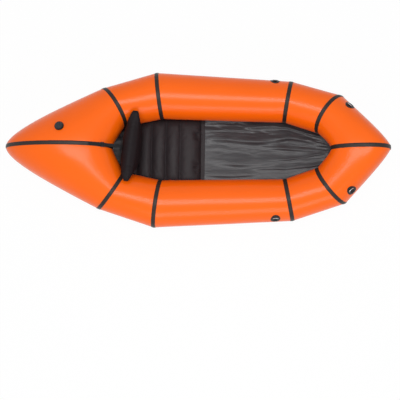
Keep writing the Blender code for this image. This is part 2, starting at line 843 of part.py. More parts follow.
def build_backrest():
    shape = bmesh.new()
    rows = [(-row[0], *row[1:]) for row in reversed(REST_SHARES)] + list(REST_SHARES[1:])
    rings = []
    for across_share, low_share, high_share, depth_share in rows:
        middle = REST_HEIGHT * (low_share + high_share) / 2
        half = REST_HEIGHT * (high_share - low_share) / 2
        deep = REST_DEPTH / 2 * depth_share
        ring = []
        for k in range(REST_POINTS):
            turn = math.tau * k / REST_POINTS
            ring.append(shape.verts.new((deep * math.cos(turn),
                                         across_share * REST_WIDTH / 2,
                                         middle + half * math.sin(turn))))
        rings.append(ring)
    for near, far in zip(rings, rings[1:]):
        for k in range(REST_POINTS):
            n = (k + 1) % REST_POINTS
            shape.faces.new((near[k], near[n], far[n], far[k]))
    for ring in (rings[0], rings[-1]):
        shape.faces.new(ring)
    return soften(add_mesh("backrest_cushion", shape, "rest_fabric", rest_frame()))


def build_hinge_flap(seat_tree, rest_tree):
    """The fabric strip that ties the backrest's lower edge to the seat."""
    frame = rest_frame()
    up = Vector((0, 0, 1))
    centre = frame.translation
    low = seat_on(seat_tree, centre, up)[0].z + GAP
    for k in range(HINGE_PROBES + 1):
        across = HINGE_FLAP_WIDTH * (k / HINGE_PROBES - 1 / 2)
        for face in (-HINGE_FLAP_THICKNESS / 2, HINGE_FLAP_THICKNESS / 2):
            place = frame @ Vector((face, across, 0))
            low = max(low, seat_on(seat_tree, place, up)[0].z + GAP)
    high = seat_on(rest_tree, centre - up * PROBE, -up)[0].z - GAP
    shape = bmesh.new()
    rows = [[shape.verts.new((0, across, height))
             for across in (-HINGE_FLAP_WIDTH / 2, HINGE_FLAP_WIDTH / 2)]
            for height in (low - REST_BOTTOM, high - REST_BOTTOM)]
    shape.faces.new((rows[0][0], rows[0][1], rows[1][1], rows[1][0]))
    thicken(add_mesh("backrest_hinge_flap", shape, "webbing", frame),
            HINGE_FLAP_THICKNESS, offset=0.0)


# Valves

def mouth_valve(name, tree, place, out):
    """A small mouth valve: a flanged neck and its twist cap."""
    hit, normal = seat_on(tree, place, out)
    along = normal.orthogonal()
    frame = frame_from(hit + normal * SKIN_GAP, along, normal)
    top = MOUTH_NECK_LENGTH
    step = MOUTH_FLANGE_THICKNESS
    neck = [(MOUTH_NECK_RADIUS, top), (MOUTH_NECK_RADIUS, step),
            (MOUTH_FLANGE_RADIUS, step), (MOUTH_FLANGE_RADIUS, 0),
            (MOUTH_BORE_RADIUS, 0), (MOUTH_BORE_RADIUS, top)]
    turned(f"{name}_body", neck, "plastic", frame, MOUTH_STEPS)
    low = step + GAP
    high = low + MOUTH_CAP_LENGTH + MOUTH_FLANGE_THICKNESS
    cup = MOUTH_NECK_RADIUS + GAP
    cap = [(0, high), (MOUTH_CAP_RADIUS - step, high), (MOUTH_CAP_RADIUS, high - step),
           (MOUTH_CAP_RADIUS, low), (cup, low), (cup, top + GAP), (0, top + GAP)]
    turned(f"{name}_cap", cap, "plastic", frame, MOUTH_STEPS)


def valve_frame(tree):
    frame = PANELS["stern"].skin_frame(VALVE_ANGLE, VALVE_STATION_SHARE, SIDES["left"])
    return seated_frame(tree, frame)


def build_valve(panel_piece):
    """The inflation valve: flange, body, spring-loaded stem, cap and tether."""
    tree = skin_tree(panel_piece)
    frame = valve_frame(tree)
    hole = VALVE_BARREL_RADIUS + SKIN_GAP
    skin_patch("valve_flange", tree, frame, VALVE_FLANGE_RADIUS, VALVE_FLANGE_RADIUS,
               VALVE_FLANGE_THICKNESS, "hull_fabric", hole=hole)
    opening = cutter(lambda shape: cylinder_at(shape, 0, 0, -VALVE_BARREL_DEPTH,
                                               VALVE_BARREL_DEPTH, hole, TURNED_STEPS),
                     "valve_opening")
    opening.matrix_world = frame
    combine(panel_piece, opening, "DIFFERENCE")

    low = SKIN_GAP + VALVE_FLANGE_THICKNESS + SKIN_GAP
    high = low + VALVE_COLLAR_HEIGHT
    web_top = -VALVE_WEB_DEPTH
    web_low = web_top - VALVE_WEB_THICKNESS
    guide = VALVE_STEM_RADIUS + GAP
    body_profile = [(VALVE_BORE_RADIUS, high), (VALVE_COLLAR_RADIUS, high),
                    (VALVE_COLLAR_RADIUS, low), (VALVE_BARREL_RADIUS, low),
                    (VALVE_BARREL_RADIUS, -VALVE_BARREL_DEPTH),
                    (VALVE_BORE_RADIUS, -VALVE_BARREL_DEPTH),
                    (VALVE_BORE_RADIUS, web_low), (guide, web_low), (guide, web_top),
                    (VALVE_BORE_RADIUS, web_top)]
    body = turned("valve_body", body_profile, "plastic", frame)
    air_circle = (VALVE_BORE_RADIUS + VALVE_GUIDE_RADIUS) / 2

    def air_holes(shape):
        for k in range(VALVE_HOLES):
            turn = math.tau * k / VALVE_HOLES
            cylinder_at(shape, air_circle * math.cos(turn), air_circle * math.sin(turn),
                        web_low - VALVE_WEB_THICKNESS, web_top + VALVE_WEB_THICKNESS,
                        VALVE_HOLE_RADIUS, MOUTH_STEPS)

    holes = cutter(air_holes, "valve_air_holes")
    holes.matrix_world = frame
    combine(body, holes, "DIFFERENCE")

    seat = -VALVE_BARREL_DEPTH - GAP
    button_high = high - VALVE_BUTTON_DEPTH
    button_low = button_high - VALVE_BUTTON_THICKNESS
    stem_profile = [(0, button_high), (VALVE_BUTTON_RADIUS, button_high),
                    (VALVE_BUTTON_RADIUS, button_low), (VALVE_STEM_RADIUS, button_low),
                    (VALVE_STEM_RADIUS, seat), (VALVE_POPPET_RADIUS, seat),
                    (VALVE_POPPET_RADIUS, seat - VALVE_POPPET_THICKNESS),
                    (0, seat - VALVE_POPPET_THICKNESS)]
    turned("valve_stem", stem_profile, "rubber", frame)
    build_spring(frame, web_top, button_low)
    build_cap_and_tether(frame, low, high)


def build_spring(frame, low, high):
    """The return spring between the valve's web and the stem's button."""
    wire = bpy.data.curves.new("valve_spring", "CURVE")
    wire.dimensions = "3D"
    wire.bevel_depth = SPRING_WIRE
    wire.bevel_resolution = 1
    wire.use_fill_caps = True
    line = wire.splines.new("POLY")
    count = SPRING_TURNS * SPRING_STEPS
    line.points.add(count)
    bottom = low + SPRING_WIRE + GAP
    climb = high - low - 2 * (SPRING_WIRE + GAP)
    for k in range(count + 1):
        turn = math.tau * k / SPRING_STEPS
        line.points[k].co = (SPRING_RADIUS * math.cos(turn), SPRING_RADIUS * math.sin(turn),
                             bottom + climb * k / count, 1)
    add_object("valve_spring", wire, "steel", frame)


def build_cap_and_tether(frame, low, high):
    start = high + GAP
    top = start + VALVE_CAP_HEIGHT
    groove = VALVE_CAP_RADIUS - TETHER_THICKNESS
    groove_low = start + (VALVE_CAP_HEIGHT - TETHER_THICKNESS) / 2 - GAP
    groove_high = groove_low + TETHER_THICKNESS + GAP + GAP
    skirt = VALVE_BORE_RADIUS - GAP
    hollow = skirt - VALVE_CAP_WALL
    roof = top - VALVE_CAP_WALL
    cap_profile = [(0, top), (VALVE_CAP_RADIUS - VALVE_CAP_WALL, top),
                   (VALVE_CAP_RADIUS, top - VALVE_CAP_WALL),
                   (VALVE_CAP_RADIUS, groove_high), (groove, groove_high),
                   (groove, groove_low), (VALVE_CAP_RADIUS, groove_low),
                   (VALVE_CAP_RADIUS, start), (skirt, start),
                   (skirt, high - VALVE_SKIRT_DEPTH), (hollow, high - VALVE_SKIRT_DEPTH),
                   (hollow, roof), (0, roof)]
    cap = turned("valve_cap", cap_profile, "plastic", frame)

    def notches(shape):
        ring = VALVE_CAP_RADIUS + VALVE_NOTCH_RADIUS - VALVE_CAP_WALL / 2
        for k in range(VALVE_NOTCHES):
            turn = math.tau * k / VALVE_NOTCHES
            cylinder_at(shape, ring * math.cos(turn), ring * math.sin(turn),
                        groove_high + VALVE_CAP_WALL / 4, top + VALVE_CAP_WALL,
                        VALVE_NOTCH_RADIUS, MOUTH_STEPS)

    grips = cutter(notches, "valve_cap_notches")
    grips.matrix_world = frame
    combine(cap, grips, "DIFFERENCE")
    build_tether(frame, low, groove, groove_low)


def build_tether(frame, low, groove, groove_low):
    """A strap with a loose ring in the cap's groove and one under the collar."""
    base_in = VALVE_COLLAR_RADIUS + GAP
    base_out = base_in + TETHER_WIDTH
    base_low = low + GAP
    inner = groove + GAP
    outer = base_out
    bottom = groove_low + GAP
    ring_profile = [(inner, bottom + TETHER_THICKNESS), (outer, bottom + TETHER_THICKNESS),
                    (outer, bottom), (inner, bottom)]
    tether = turned("valve_tether", ring_profile, "rubber", frame)

    def lower_ring(shape):
        rims = []
        for radius, height in ((base_in, base_low), (base_out, base_low),
                               (base_out, base_low + TETHER_THICKNESS),
                               (base_in, base_low + TETHER_THICKNESS)):
            rims.append([shape.verts.new((radius * math.cos(math.tau * k / TURNED_STEPS),
                                          radius * math.sin(math.tau * k / TURNED_STEPS),
                                          height)) for k in range(TURNED_STEPS)])
        for near, far in zip(rims, rims[1:] + rims[:1]):
            span_faces(shape, near, far, range(TURNED_STEPS))

    def link(shape):
        size = (TETHER_WIDTH, TETHER_WIDTH * 2, bottom + TETHER_THICKNESS - base_low)
        place = Matrix.Translation((base_out - TETHER_WIDTH / 4, 0, base_low + size[2] / 2))
        bmesh.ops.create_cube(shape, size=1, matrix=place @ Matrix.Diagonal((*size, 1)))

    for maker, name in ((lower_ring, "tether_lower_ring"), (link, "tether_link")):
        guide = cutter(maker, name)
        guide.matrix_world = frame
        combine(tether, guide, "UNION")


# Lashing rings

def build_lashing_ring(word, key, side, panel_piece):
    """An oval patch, a webbing keeper sewn on it and the wire ring it holds."""
    place = RING_PLACES[key]
    tree = skin_tree(panel_piece)
    frame = PANELS[place["panel"]].skin_frame(place["angle"], place["share"], side)
    frame = seated_frame(tree, frame)
    skin_patch(f"{key}_ring_patch_{word}", tree, frame, PATCH_LENGTH / 2, PATCH_GIRTH / 2,
               PATCH_THICKNESS, "rubber")

    base = SKIN_GAP + PATCH_THICKNESS + SKIN_GAP + KEEPER_THICKNESS / 2
    lower = []
    normals = []
    for k in range(KEEPER_STEPS + 1):
        downhill = KEEPER_LENGTH - RING_OFFSET - KEEPER_LENGTH * k / KEEPER_STEPS
        lower.append(Vector((downhill, base - downhill ** 2 / (2 * TUBE_RADIUS))))
        normals.append(Vector((0, 1)))
    loop = RING_WIRE / 2 + GAP + KEEPER_THICKNESS / 2
    path, bar = looped(lower, normals, Vector((-1, 0)), loop, KEEPER_THICKNESS + GAP)
    ribbon(f"{key}_ring_keeper_{word}", path, KEEPER_WIDTH, KEEPER_THICKNESS, "webbing",
           frame)

    hinge = frame @ Matrix.Translation((0, bar.x, bar.y))
    hinge = hinge @ Matrix.Rotation(-math.radians(RING_REST_ANGLE), 4, "X")
    build_wire_ring(f"{key}_lashing_ring_{word}", hinge)


def build_wire_ring(name, frame):
    """A D-shaped wire ring. Its bar lies on X and its bow reaches to -Y."""
    half = KEEPER_WIDTH / 2 + RING_WIRE / 2 + SKIN_GAP * 2
    corner = RING_WIRE / 2
    straight = RING_REACH - half
    points = [(-half + corner, 0), (half - corner, 0), (half, -corner)]
    for k in range(RING_STEPS + 1):
        turn = math.pi * k / RING_STEPS
        points.append((half * math.cos(turn), -straight - half * math.sin(turn)))
    points.append((-half, -corner))
    wire = bpy.data.curves.new(name, "CURVE")
    wire.dimensions = "3D"
    wire.bevel_depth = RING_WIRE / 2
    wire.bevel_resolution = 2
    line = wire.splines.new("POLY")
    line.points.add(len(points) - 1)
    for spot, (x, y) in zip(line.points, points):
        spot.co = (x, y, 0, 1)
    line.use_cyclic_u = True
    add_object(name, wire, "steel", frame)


# Backrest strap

def build_strap(rest_piece):
    """Webbing from the stern's tape, through a slider, to the backrest."""
    side_on = Matrix(((0, -1, 0, 0), (1, 0, 0, 0), (0, 0, 1, 0), (0, 0, 0, 1)))
    height = GAP + TAPE_THICKNESS + GAP + STRAP_THICKNESS / 2
    lower = []
    normals = []
    first, last = STRAP_TAB_ANGLES
    for k in range(STRAP_STEPS + 1):
        angle = first + (last - first) * k / STRAP_STEPS
        out = STERN.outward(angle)
        place = STERN.point(angle) + out * height
        lower.append(Vector((-place.x, place.z)))
        normals.append(Vector((-out.x, out.z)))
    up = normals[-1]
    ahead = Vector((-up.y, up.x))
    loop = SLIDER_THICKNESS / 2 + SKIN_GAP * 2 + STRAP_THICKNESS / 2
    lower.append(lower[-1] + ahead * SLIDER_LENGTH / 2)
    normals.append(up)
    path, bar = looped(lower, normals, ahead, loop, STRAP_THICKNESS + GAP)
    ribbon("stern_strap_tab", path, STRAP_WIDTH, STRAP_THICKNESS, "webbing", side_on)

    origin = Vector((-bar.x, 0, bar.y))
    forward = Vector((-ahead.x, 0, ahead.y))
    lift = Vector((-up.x, 0, up.y))
    slider = frame_from(origin, forward, lift)
    build_slider(slider)

    front_bar = origin + forward * (SLIDER_LENGTH - SLIDER_BAR)
    tree = skin_tree(rest_piece)
    aft = Vector((-1, 0, 0))
    anchor, normal = seat_on(tree, Vector((REST_X, 0, STRAP_ANCHOR_Z)), aft)
    patch_frame = frame_from(anchor, Vector((0, 1, 0)), normal)
    skin_patch("backrest_strap_patch", tree, patch_frame, STRAP_PATCH / 2, STRAP_PATCH / 2,
               STRAP_THICKNESS, "rubber")
    stand = SKIN_GAP * 3 + STRAP_THICKNESS + STRAP_THICKNESS / 2
    slope = Vector((-normal.z, 0, normal.x)).normalized()
    slope = slope if slope.z > 0 else -slope
    foot = anchor + normal * stand
    run = [foot - slope * STRAP_PATCH / 3, foot + slope * STRAP_PATCH / 3]
    near_bar = front_bar - lift * loop
    run.append((run[-1] + near_bar) / 2 + slope * STRAP_THICKNESS)
    run.append(near_bar)
    flat = [Vector((-p.x, p.z)) for p in run]
    back = Vector((forward.x, -forward.z))
    strap_up = Vector((-lift.x, lift.z))
    path, _ = looped(flat, [strap_up] * len(flat), back, loop, STRAP_THICKNESS + GAP * 2)
    ribbon("backrest_strap", path[:-2], STRAP_WIDTH, STRAP_THICKNESS, "webbing", side_on)


def build_slider(frame):
    """A ladder-lock slider: a plate with two slots between three bars."""
    plate = bpy.data.curves.new("strap_slider", "CURVE")
    plate.dimensions = "2D"
    plate.fill_mode = "BOTH"
    plate.extrude = SLIDER_THICKNESS / 2
    rear = -SLIDER_BAR / 2
    front = SLIDER_LENGTH - SLIDER_BAR / 2
    slot = (SLIDER_LENGTH - SLIDER_BAR * 3) / 2
    half_slot = STRAP_WIDTH / 2 + SKIN_GAP * 2
    boxes = [(rear, front, SLIDER_WIDTH / 2)]
    for k in range(2):
        start = rear + SLIDER_BAR + k * (slot + SLIDER_BAR)
        boxes.append((start, start + slot, half_slot))
    for low, high, half in boxes:
        line = plate.splines.new("POLY")
        line.points.add(3)
        for spot, (x, y) in zip(line.points, ((low, -half), (high, -half),
                                              (high, half), (low, half))):
            spot.co = (x, y, 0, 1)
        line.use_cyclic_u = True
    add_object("strap_slider", plate, "plastic", frame)


def build_all():
    hull = build_hull()
    build_floor()
    build_floor_tape()
    seat = build_seat()
    rest = build_backrest()
    seat_tree = skin_tree(seat)
    rest_tree = skin_tree(rest)
    build_hinge_flap(seat_tree, rest_tree)
    mouth_valve("seat_valve", seat_tree, Vector((REST_X - MOUTH_BEHIND, SEAT_MOUTH_Y, 0)),
                Vector((0, 0, 1)))
    mouth_valve("backrest_valve", rest_tree, Vector((REST_X, REST_MOUTH_Y, REST_MOUTH_Z)),
                Vector((-1, 0, 0)))
    for word, side in SIDES.items():
        for key in RING_PLACES:
            panel_piece = hull[f"{RING_PLACES[key]['panel']}_panel_{word}"]
            build_lashing_ring(word, key, side, panel_piece)
    build_strap(rest)
    build_valve(hull["stern_panel_left"])


build_all()
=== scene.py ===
"""The looks of a one-person inflatable packraft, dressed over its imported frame.

Metres, +X to the bow, +Y to port, +Z up. The hull skins, tapes, floor, seat and
backrest are shaped here over the frame's plain solids. The fittings keep the
frame's shapes and get the same looks.
"""
import json
import math

import bpy
from mathutils import Matrix, Vector, noise
from mathutils.bvhtree import BVHTree


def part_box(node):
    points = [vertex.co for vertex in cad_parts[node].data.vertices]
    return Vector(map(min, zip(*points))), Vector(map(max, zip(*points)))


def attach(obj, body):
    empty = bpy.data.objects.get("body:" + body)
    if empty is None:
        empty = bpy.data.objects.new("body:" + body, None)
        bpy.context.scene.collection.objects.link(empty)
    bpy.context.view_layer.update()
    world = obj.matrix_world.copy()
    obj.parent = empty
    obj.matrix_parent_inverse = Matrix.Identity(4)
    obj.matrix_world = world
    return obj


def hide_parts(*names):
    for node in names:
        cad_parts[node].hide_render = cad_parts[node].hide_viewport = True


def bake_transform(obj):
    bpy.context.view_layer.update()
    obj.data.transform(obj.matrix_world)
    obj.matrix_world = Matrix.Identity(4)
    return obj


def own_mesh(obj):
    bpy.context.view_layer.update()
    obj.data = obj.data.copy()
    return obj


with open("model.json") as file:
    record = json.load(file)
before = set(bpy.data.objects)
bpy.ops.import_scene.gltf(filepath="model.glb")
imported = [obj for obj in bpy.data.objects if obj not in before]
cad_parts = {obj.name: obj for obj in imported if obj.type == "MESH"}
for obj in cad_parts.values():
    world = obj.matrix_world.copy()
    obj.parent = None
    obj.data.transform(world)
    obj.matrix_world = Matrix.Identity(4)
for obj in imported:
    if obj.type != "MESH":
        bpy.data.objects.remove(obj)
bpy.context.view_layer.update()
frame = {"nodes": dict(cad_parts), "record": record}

# Hull, as the frame has it
HULL_LENGTH = 2.400
TUBE_SPREAD = 0.347
TUBE_WIDTH = 0.300
TUBE_HEIGHT = 0.282
FLAT_DEPTH = 0.0040
TAPE_WIDTH = 0.025
SKIN_BASE = 0.0013
FLOOR_ANGLE = 243.0
CROSS_SEAM_SHARES = {
    "aft": {"station": -0.437, "spread": 0.767, "lift": 0.000,
            "width": 0.937, "height": 1.043, "lean": 0.124},
    "rear": {"station": -0.192, "spread": 1.000, "lift": 0.000,
             "width": 1.000, "height": 1.000, "lean": 0.000},
    "front": {"station": 0.495, "spread": 0.902, "lift": 0.000,
              "width": 0.887, "height": 0.965, "lean": -0.050},
    "fore": {"station": 0.712, "spread": 0.643, "lift": 0.188,
             "width": 0.927, "height": 0.929, "lean": -0.184},
}
CROSS_SEAM_TURNS = {"aft": 33.8, "rear": 7.5, "front": -10.6, "fore": -37.8}
CENTRE_SEAM_SHARES = {
    "stern": {"tip": (-1.000, 0.574), "top": (-0.662, 1.369),
              "throat": (-0.429, 0.766), "keel": (-0.583, 0.053)},
    "bow": {"tip": (1.000, 0.996), "top": (0.888, 1.426),
            "throat": (0.703, 0.943), "keel": (0.817, 0.284)},
}
CENTRE_FULLNESS_SHARES = {"stern": (1.0, 1.0, 1.0, 0.9), "bow": (1.0, 1.0, 1.0, 1.08)}
END_ROUNDING = {
    "stern": {"tip": 0.085, "crown": 0.110, "throat": 0.022},
    "bow": {"tip": 0.036, "crown": 0.080, "throat": 0.026},
}
SIDES = {"left": 1, "right": -1}

# Skin detail
SKIN_SIDES = 112
SKIN_ROWS = {"straight": 26, "end": 44}
TAPE_LIFT = 0.0011
TAPE_EDGE = 0.0003
PUCKER_DEPTH = 0.0011
PUCKER_REACH = 0.030
PUCKER_RATE = 17.0
PUCKER_SHARPNESS = 3
INNER_BEND = 1.6             # how much more the skin puckers on the inside of a bend
RIPPLE_DEPTH = 0.0006
RIPPLE_RATE = 5.0
PANEL_SEED = 3.7             # keeps one panel's noise apart from the next one's
SIDE_SEED = 11.3
LANE_SHARE = 0.05            # how far along its panel a tape takes its direction
TAPE_PROFILE = (
    # place across the tape as a share of its half width, and whether it is raised
    (-1, 0), (-1, 1), (-0.5, 1), (0, 1), (0.5, 1), (1, 1), (1, 0),
)
CROSSINGS = {
    # the panels aft and ahead of each cross seam
    "aft": ("stern", "rear_quarter"),
    "rear": ("rear_quarter", "side"),
    "front": ("side", "front_quarter"),
    "fore": ("front_quarter", "bow"),
}


def cos_deg(angle):
    return math.cos(math.radians(angle))


def sin_deg(angle):
    return math.sin(math.radians(angle))


def grounded(point):
    return Vector((point.x, point.y, max(point.z, SKIN_BASE)))


def mirrored(point, side):
    return Vector((point.x, point.y * side, point.z))


def smooth_share(share):
    share = min(1, max(0, share))
    return share * share * (3 - 2 * share)


def noise_at(place, rates):
    """Smooth noise from about -1 to 1, at a place times its rates."""
    return noise.noise(Vector([value * rate for value, rate in zip(place, rates)]))


class CrossSeam:
    """A leaning oval on the port side. Angle 0 is outboard and 90 is the top."""

    def __init__(self, name):
        share = CROSS_SEAM_SHARES[name]
        turn = CROSS_SEAM_TURNS[name]
        half_height = share["height"] * TUBE_HEIGHT / 2
        half_width = share["width"] * TUBE_WIDTH / 2
        self.centre = Vector((share["station"] * HULL_LENGTH / 2,
                              share["spread"] * TUBE_SPREAD,
                              share["lift"] * TUBE_HEIGHT + half_height
                              + SKIN_BASE - FLAT_DEPTH))
        self.across = Vector((-sin_deg(turn), cos_deg(turn), 0)) * half_width
        ahead = Vector((cos_deg(turn), sin_deg(turn), 0))
        self.rise = ahead * share["lean"] * TUBE_HEIGHT + Vector((0, 0, half_height))

    def point(self, angle):
        return grounded(self.centre + self.across * cos_deg(angle)
                        + self.rise * sin_deg(angle))

    def outward(self, angle):
        out = (self.across / self.across.length_squared * cos_deg(angle)
               + self.rise / self.rise.length_squared * sin_deg(angle))
        return out.normalized()


class CentreSeam:
    """A closed curve on the centre plane. Angle 0 is the tip and 90 is the top."""

    def __init__(self, name):
        reach = HULL_LENGTH / 2 - SKIN_BASE
        self.mark = {key: Vector((along * reach, 0, up * TUBE_HEIGHT))
                     for key, (along, up) in CENTRE_SEAM_SHARES[name].items()}
        self.squareness = CENTRE_FULLNESS_SHARES[name]

    def point(self, angle):
        angle = angle % 360
        quarter = int(angle // 90)
        level = self.mark["tip"] if quarter in (0, 3) else self.mark["throat"]
        pole = self.mark["top"] if quarter in (0, 1) else self.mark["keel"]
        power = self.squareness[quarter]
        along = abs(cos_deg(angle)) ** power
        up = abs(sin_deg(angle)) ** power
        return Vector((pole.x + (level.x - pole.x) * along, 0,
                       level.z + (pole.z - level.z) * up))

    def outward(self, angle):
        run = self.point(angle + 1) - self.point(angle - 1)
        out = Vector((run.z, 0, -run.x)).normalized()
        middle = (self.mark["tip"] + self.mark["throat"]) / 2
        return out if out.dot(self.point(angle) - middle) > 0 else -out


class Panel:
    """One hull panel on the port side, lofted from seam to seam."""

    def __init__(self, start, end, rounding=None):
        self.start = start
        self.end = end
        self.rounding = rounding

    def handle(self, angle):
        level = self.rounding["tip" if cos_deg(angle) > 0 else "throat"]
        return level * cos_deg(angle) ** 2 + self.rounding["crown"] * sin_deg(angle) ** 2

    def point(self, angle, share):
        first = self.start.point(angle)
        last = self.end.point(angle)
        if self.rounding is None:
            return first.lerp(last, share)
        late = last + Vector((0, self.handle(angle), 0))
        early = first.lerp(late, 0.5)
        rest = 1 - share
        return grounded(first * rest ** 3 + early * 3 * rest ** 2 * share
                        + late * 3 * rest * share ** 2 + last * share ** 3)

    def outward(self, angle, share):
        return self.start.outward(angle).lerp(self.end.outward(angle), share).normalized()

    def skin(self, angle, share, seed):
        """A point of the dressed skin, puckered near its seams."""
        point = self.point(angle, share)
        near = min((point - self.start.point(angle)).length,
                   (point - self.end.point(angle)).length)
        dip = crease(angle, near, seed)
        swell = RIPPLE_DEPTH * noise.noise(point * RIPPLE_RATE + Vector((seed, 0, 0)))
        swell *= smooth_share(near / PUCKER_REACH)
        return point + self.outward(angle, share) * (swell - dip)


def crease(angle, near, seed):
    """How deep the short creases that run off a seam are, at a distance from it."""
    turn = math.radians(angle)
    place = Vector((math.cos(turn), math.sin(turn), seed)) * PUCKER_RATE / 2
    wave = 1 - abs(noise.noise(place)) * 2
    bend = 1 + INNER_BEND * max(0, -math.cos(turn))
    fade = math.exp(-near / PUCKER_REACH)
    return PUCKER_DEPTH * bend * max(0, wave) ** PUCKER_SHARPNESS * fade


CROSS_SEAMS = {name: CrossSeam(name) for name in CROSS_SEAM_SHARES}
CENTRE_SEAMS = {name: CentreSeam(name) for name in CENTRE_SEAM_SHARES}
PANELS = {
    "stern": Panel(CROSS_SEAMS["aft"], CENTRE_SEAMS["stern"], END_ROUNDING["stern"]),
    "rear_quarter": Panel(CROSS_SEAMS["aft"], CROSS_SEAMS["rear"]),
    "side": Panel(CROSS_SEAMS["rear"], CROSS_SEAMS["front"]),
    "front_quarter": Panel(CROSS_SEAMS["front"], CROSS_SEAMS["fore"]),
    "bow": Panel(CROSS_SEAMS["fore"], CENTRE_SEAMS["bow"], END_ROUNDING["bow"]),
}
ANGLES = [360 * k / SKIN_SIDES for k in range(SKIN_SIDES)]


def panel_seed(key, side):
    return list(PANELS).index(key) * PANEL_SEED + side * SIDE_SEED


# Materials

GLOSS_DRIFT = 0.06
MOULDED_SPREAD = 0.15
WEAR_GRAIN = 20              # how many times coarser the wear is than the grain
WAVE_PITCH = 0.314           # scale of a wave texture whose bands lie a metre apart


class Nodes:
    """Adds nodes to a material and links them."""

    def __init__(self, name):
        self.made = bpy.data.materials.new(name)
        self.made.use_nodes = True
        self.tree = self.made.node_tree
        self.shader = self.tree.nodes["Principled BSDF"]

    def add(self, kind, sockets=None, **settings):
        node = self.tree.nodes.new("ShaderNode" + kind)
        for key, value in settings.items():
            setattr(node, key, value)
        for key, value in (sockets or {}).items():
            if isinstance(value, bpy.types.NodeSocket):
                self.tree.links.new(value, node.inputs[key])
            else:
                node.inputs[key].default_value = value
        return node

    def link(self, start, end):
        self.tree.links.new(start, end)


def toned(n, driver, colour, spread):
    """A colour that drifts a little to either side of the one asked for."""
    tone = n.add("ValToRGB", {"Fac": driver})
    for stop, change in zip(tone.color_ramp.elements, (1 - spread, 1 + spread)):
        stop.color = tuple(min(1, c * change) for c in colour) + (1.0,)
    n.link(tone.outputs["Color"], n.shader.inputs["Base Color"])


def finish_look(n, driver, roughness, bump, sockets):
    """Uneven gloss, the surface's relief and the shader's own settings."""
    gloss = n.add("MapRange", {"Value": driver, "To Min": roughness - GLOSS_DRIFT,
                               "To Max": roughness + GLOSS_DRIFT})
    n.link(gloss.outputs["Result"], n.shader.inputs["Roughness"])
    n.link(bump.outputs["Normal"], n.shader.inputs["Normal"])
    for key, value in sockets.items():
        n.shader.inputs[key.replace("_", " ")].default_value = value
    return n.made


def fabric(name, colour, roughness, pitch, weave, spread=0.10, grain=9.0, **sockets):
    """A woven, coated cloth: patchy colour and gloss over a fine square weave."""
    n = Nodes(name)
    place = n.add("TexCoord").outputs["Object"]
    patches = n.add("TexNoise", {"Vector": place, "Scale": grain, "Detail": 5.0,
                                 "Roughness": 0.6}).outputs["Fac"]
    toned(n, patches, colour, spread)
    height = 0.0
    for direction in ("X", "Y", "Z"):
        band = n.add("TexWave", {"Vector": place, "Scale": WAVE_PITCH / pitch},
                     bands_direction=direction).outputs["Fac"]
        height = n.add("Math", {0: band, 1: height}, operation="ADD").outputs[0]
    bump = n.add("Bump", {"Strength": weave, "Distance": pitch / 4, "Height": height})
    return finish_look(n, patches, roughness, bump, sockets)


def moulded(name, colour, roughness, grain, depth, **sockets):
    """Moulded plastic, rubber or metal with a fine grain."""
    n = Nodes(name)
    place = n.add("TexCoord").outputs["Object"]
    speck = n.add("TexNoise", {"Vector": place, "Scale": grain, "Detail": 3.0}).outputs["Fac"]
    worn = n.add("TexNoise", {"Vector": place, "Scale": grain / WEAR_GRAIN,
                              "Detail": 4.0}).outputs["Fac"]
    toned(n, worn, colour, MOULDED_SPREAD)
    bump = n.add("Bump", {"Strength": 0.3, "Distance": depth, "Height": speck})
    return finish_look(n, worn, roughness, bump, sockets)


LOOKS = {
    "hull_fabric": fabric("hull_look", (0.880, 0.122, 0.002), 0.36, 0.0010, 0.06,
                          spread=0.04, grain=4.0, Specular_IOR_Level=0.10,
                          Coat_Weight=0.30, Coat_Roughness=0.20),
    "seam_tape": fabric("tape_look", (0.022, 0.016, 0.014), 0.42, 0.0010, 0.25,
                        Specular_IOR_Level=0.22),
    "floor_fabric": fabric("floor_look", (0.041, 0.041, 0.045), 0.33, 0.0012, 0.15,
                           spread=0.15, grain=14.0, Specular_IOR_Level=0.30),
    "seat_fabric": fabric("seat_look", (0.023, 0.018, 0.020), 0.50, 0.0010, 0.25,
                          spread=0.15, grain=20.0, Specular_IOR_Level=0.18),
    "rest_fabric": fabric("rest_look", (0.009, 0.006, 0.007), 0.55, 0.0010, 0.25,
                          spread=0.15, grain=24.0, Specular_IOR_Level=0.11),
    "webbing": fabric("webbing_look", (0.012, 0.012, 0.013), 0.75, 0.0022, 0.60,
                      Specular_IOR_Level=0.20),
    "plastic": moulded("plastic_look", (0.012, 0.013, 0.018), 0.28, 900.0, 0.0001,
                       Specular_IOR_Level=0.40),
    "rubber": moulded("rubber_look", (0.016, 0.014, 0.014), 0.48, 700.0, 0.0001,
                      Specular_IOR_Level=0.25),
    "steel": moulded("steel_look", (0.52, 0.52, 0.54), 0.26, 1200.0, 0.00005, Metallic=1.0),
}


# Meshes


def dress(name, points, faces, slot, body, nodes):
    """One piece of the dressed model, with its look, on the body that carries it."""
    data = bpy.data.meshes.new(name)
    data.from_pydata(points, [], faces)
    data.validate()
    data.shade_smooth()
    piece = bpy.data.objects.new(name, data)
    bpy.context.scene.collection.objects.link(piece)
    data.materials.append(LOOKS[slot])
    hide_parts(*nodes)
    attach(piece, body)
    return piece


def grid_faces(rows, columns, closed_across, flip=False):
    """Quads between neighbouring rows of points, listed row by row."""
    faces = []
    last = columns if closed_across else columns - 1
    for i in range(rows - 1):
        for j in range(last):
            a, b = i * columns + j, i * columns + (j + 1) % columns
            quad = (a, b, b + columns, a + columns)
            faces.append(quad[::-1] if flip else quad)
    return faces


